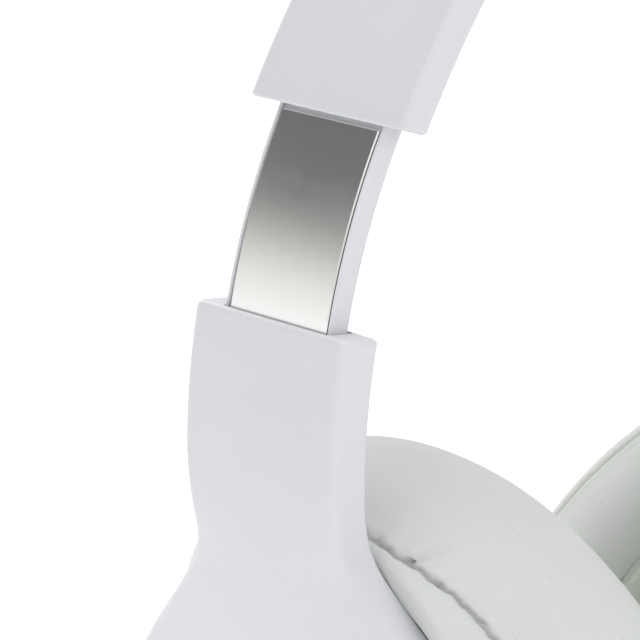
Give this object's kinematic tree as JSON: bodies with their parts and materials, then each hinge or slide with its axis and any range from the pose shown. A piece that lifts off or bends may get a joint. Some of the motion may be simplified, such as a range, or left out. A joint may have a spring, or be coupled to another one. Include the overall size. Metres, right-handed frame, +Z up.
{
  "type": "over ear headphones",
  "caption": "Over ear headphones with a padded headband, curved sliders with metal plates, arms that widen into ear cup shells, and tilting cups with leatherette ear cushions.",
  "frame": {"origin": "the underside of the headband pad at its middle, where the headphones rest on the head", "axes": "+X from the left ear cup to the right ear cup, +Y the way the wearer faces, +Z up"},
  "size_m": [0.1392, 0.086, 0.1833],
  "materials": {
    "white_plastic": "fine satin, cool white",
    "brushed_plate": "brushed along its length with bright chamfered edges",
    "leatherette": "soft pale grey green leatherette with fine grain",
    "dark_plastic": "fine matt black",
    "spring_steel": "blued spring steel",
    "screw_steel": "plain zinc plated",
    "magnet_case": "pressed steel",
    "diaphragm_film": "thin clear film, slightly yellow",
    "screen_cloth": "fine knitted cloth",
    "circuit_board": "green solder mask"
  },
  "bodies": {
    "headband": {"headband_outer": "white_plastic", "headband_inner_cover": "white_plastic", "headband_spring": "spring_steel", "headband_pad": "leatherette", "headband_screws": "screw_steel", "left_slider": "white_plastic", "right_slider": "white_plastic", "left_slider_plate": "brushed_plate", "right_slider_plate": "brushed_plate", "left_slider_stop": "dark_plastic", "right_slider_stop": "dark_plastic"},
    "left_arm": {"left_arm_shell": "white_plastic", "left_arm_cover": "white_plastic", "left_detent_spring": "spring_steel", "left_pivot_pins": "screw_steel", "jack_socket": "dark_plastic"},
    "left_cup": {"left_inner_housing": "white_plastic", "left_baffle": "dark_plastic", "left_baffle_screws": "screw_steel", "left_driver_frame": "dark_plastic", "left_driver_magnet": "magnet_case", "left_driver_diaphragm": "diaphragm_film", "left_driver_grille": "dark_plastic", "left_terminal_board": "circuit_board", "left_cushion_ring": "dark_plastic", "left_cushion_screen": "screen_cloth", "left_ear_cushion": "leatherette"},
    "right_arm": {"right_arm_shell": "white_plastic", "right_arm_cover": "white_plastic", "right_detent_spring": "spring_steel", "right_pivot_pins": "screw_steel"},
    "right_cup": {"right_inner_housing": "white_plastic", "right_baffle": "dark_plastic", "right_baffle_screws": "screw_steel", "right_driver_frame": "dark_plastic", "right_driver_magnet": "magnet_case", "right_driver_diaphragm": "diaphragm_film", "right_driver_grille": "dark_plastic", "right_terminal_board": "circuit_board", "right_cushion_ring": "dark_plastic", "right_cushion_screen": "screen_cloth", "right_ear_cushion": "leatherette"}
  },
  "joints": [
    {"name": "left_slider", "type": "hinge", "parent": "headband", "child": "left_arm", "pos_m": [0.00844, 0, -0.0643], "axis": [0, 1, 0], "range_deg": [0, 17.1]},
    {"name": "left_cup_tilt", "type": "hinge", "parent": "left_arm", "child": "left_cup", "pos_m": [-0.04669, 0, -0.12856], "axis": [0, 1, 0], "range_deg": [0, 4.5]},
    {"name": "right_slider", "type": "hinge", "parent": "headband", "child": "right_arm", "pos_m": [-0.00844, 0, -0.0643], "axis": [0, -1, 0], "range_deg": [0, 17.1]},
    {"name": "right_cup_tilt", "type": "hinge", "parent": "right_arm", "child": "right_cup", "pos_m": [0.04669, 0, -0.12856], "axis": [0, -1, 0], "range_deg": [0, 4.5]}
  ]
}
